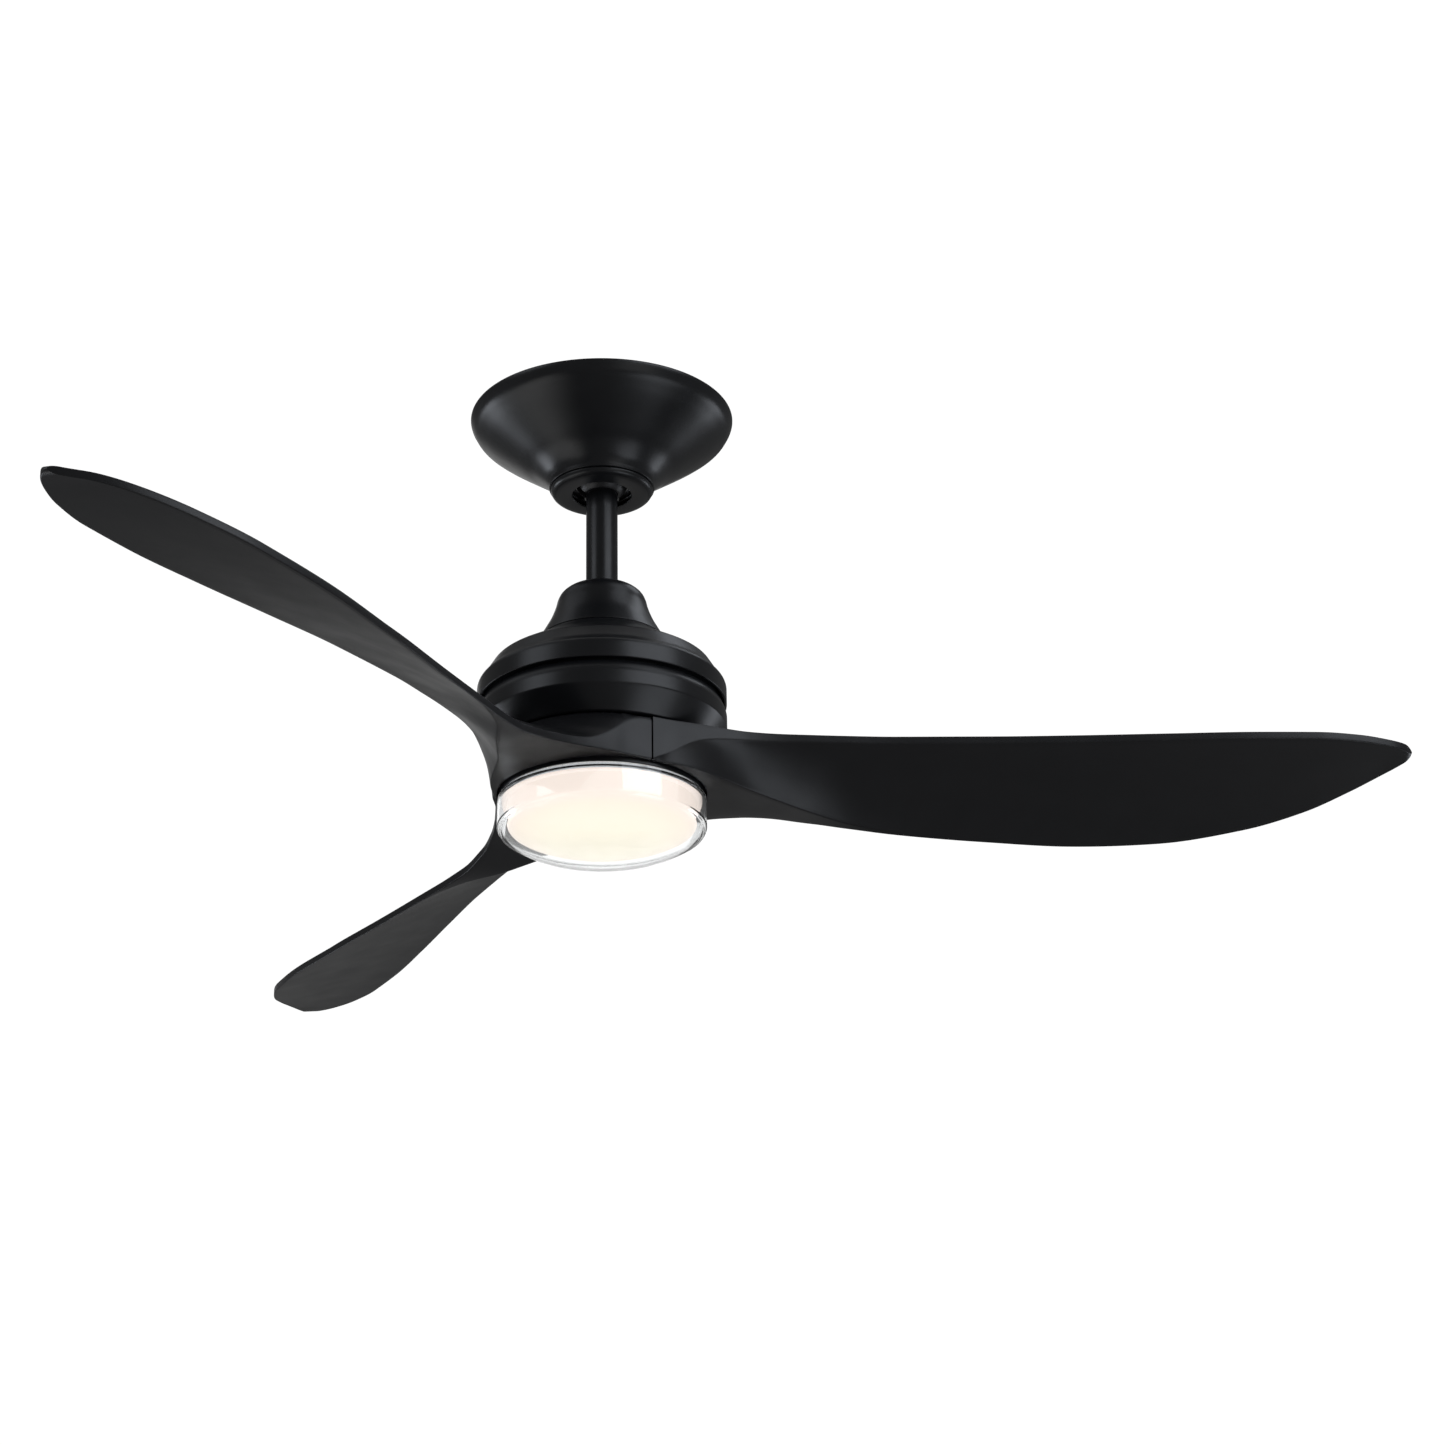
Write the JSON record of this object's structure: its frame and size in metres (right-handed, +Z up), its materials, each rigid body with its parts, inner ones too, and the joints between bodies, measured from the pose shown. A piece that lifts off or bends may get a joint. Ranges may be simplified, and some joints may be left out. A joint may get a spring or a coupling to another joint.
{
  "type": "ceiling fan with light",
  "caption": "Ceiling fan with swept moulded blades under a round motor housing, hung on a short downrod, with a round light under the hub.",
  "frame": {"origin": "middle of the hanger bracket's top face, on the ceiling, on the fan's axis", "axes": "+Z up into the ceiling along the fan's axis, the fan hangs along -Z, and the first blade points along +X turned 3.34 degrees towards -Y"},
  "size_m": [1.0345, 1.141, 0.3952],
  "materials": {
    "black_paint": "satin black powder coat with a very fine texture",
    "zinc_steel": "zinc plated",
    "black_plastic": "moulded, fine grain",
    "cast_yoke": "turned, phosphated",
    "lamination_steel": "stacked laminations",
    "copper_wire": "enamelled copper",
    "circuit_board": "green solder mask",
    "bearing_steel": "ground and polished",
    "cast_aluminium": "die cast",
    "magnet": "bonded ferrite",
    "blade_plastic": "matte black moulded blade",
    "white_plastic": "moulded",
    "cable": "smooth jacket",
    "clear_acrylic": "clear and polished",
    "opal_acrylic": "opal white, lit from behind"
  },
  "bodies": {
    "ceiling_side": {"hanger_bracket": "zinc_steel", "canopy": "black_paint", "canopy_screw_1": "zinc_steel", "canopy_screw_2": "zinc_steel", "remote_receiver": "black_plastic"},
    "trim_ring": {"canopy_ring": "black_paint"},
    "hanging_side": {"hanger_ball": "black_plastic", "ball_cross_pin": "zinc_steel", "ball_set_screw": "zinc_steel", "downrod": "black_paint", "motor_yoke": "cast_yoke", "clevis_pin": "zinc_steel", "clevis_clip": "zinc_steel", "yoke_set_screw_1": "zinc_steel", "yoke_set_screw_2": "zinc_steel", "upper_housing": "black_paint", "lower_housing": "black_paint", "housing_screw_1": "zinc_steel", "housing_screw_2": "zinc_steel", "housing_screw_3": "zinc_steel", "motor_shaft": "zinc_steel", "stator_core": "lamination_steel", "stator_windings": "copper_wire", "motor_driver_board": "circuit_board", "upper_bearing_inner_race": "bearing_steel", "lower_bearing_inner_race": "bearing_steel", "light_pan": "black_paint", "shaft_nut": "zinc_steel", "led_driver": "white_plastic", "led_board": "cast_aluminium", "led_board_screw_1": "zinc_steel", "led_board_screw_2": "zinc_steel", "led_board_screw_3": "zinc_steel", "supply_lead": "cable", "lead_connector": "white_plastic"},
    "cover": {"coupling_cover": "black_paint"},
    "rotor": {"rotor_cup": "cast_aluminium", "rotor_top_cover": "cast_aluminium", "rotor_magnet_ring": "magnet", "upper_bearing_ball_cage": "bearing_steel", "lower_bearing_ball_cage": "bearing_steel", "upper_bearing_outer_race": "bearing_steel", "lower_bearing_outer_race": "bearing_steel", "blade_plate": "zinc_steel", "blade_1": "blade_plastic", "blade_2": "blade_plastic", "blade_3": "blade_plastic", "blade_screw_1": "zinc_steel", "blade_screw_2": "zinc_steel", "blade_screw_3": "zinc_steel", "blade_screw_4": "zinc_steel", "blade_screw_5": "zinc_steel", "blade_screw_6": "zinc_steel"},
    "light_cover": {"clear_shade": "clear_acrylic", "opal_diffuser": "opal_acrylic"}
  },
  "joints": [
    {"name": "rod_swing", "type": "hinge", "parent": "ceiling_side", "child": "hanging_side", "pos_m": [0, 0, -0.05], "axis": [0, 1, 0], "range_deg": [-20, 20]},
    {"name": "blade_spin", "type": "hinge", "parent": "hanging_side", "child": "rotor", "pos_m": [0, 0, -0.31], "axis": [0, 0, 1], "continuous": true},
    {"name": "cover_slide", "type": "slide", "parent": "hanging_side", "child": "cover", "axis": [0, 0, 1], "range_m": [0, 0.06]},
    {"name": "ring_twist", "type": "hinge", "parent": "ceiling_side", "child": "trim_ring", "pos_m": [0, 0, -0.068], "axis": [0, 0, 1], "range_deg": [0, 15]},
    {"name": "shade_twist", "type": "hinge", "parent": "hanging_side", "child": "light_cover", "pos_m": [0, 0, -0.365], "axis": [0, 0, 1], "range_deg": [0, 14]}
  ]
}
